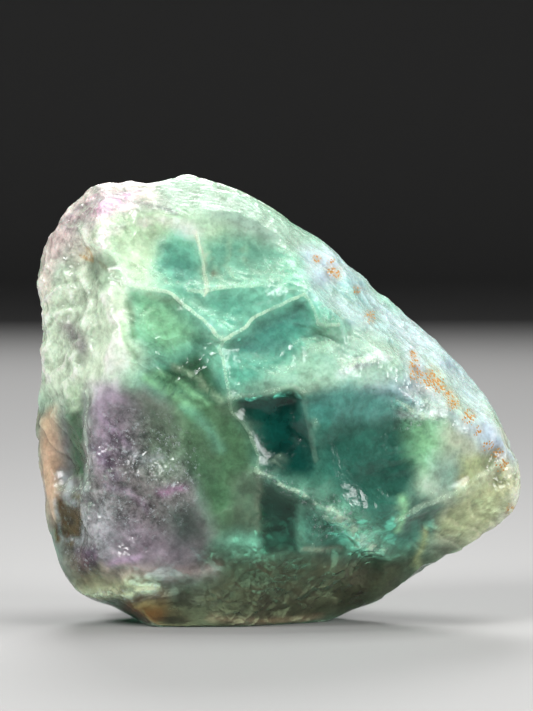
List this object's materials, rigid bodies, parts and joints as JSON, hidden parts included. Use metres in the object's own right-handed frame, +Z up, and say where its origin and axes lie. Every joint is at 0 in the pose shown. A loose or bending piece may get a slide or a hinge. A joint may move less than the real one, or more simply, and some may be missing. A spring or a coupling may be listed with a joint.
{
  "type": "rough fluorite",
  "caption": "Palm-sized broken lump of rough fluorite, see-through teal and green with purple-grey zones and frosted ridges, for standing on its flat base.",
  "frame": {"origin": "on the ground, below the middle of the stone's box", "axes": "+X to the right across the broad front face, which looks towards -Y; +Z up, as the stone stands"},
  "size_m": [0.0698, 0.0352, 0.064],
  "materials": {
    "fluorite": "see-through green stone with broken, part frosted faces"
  },
  "bodies": {
    "root": {"fluorite": "fluorite"}
  },
  "joints": []
}
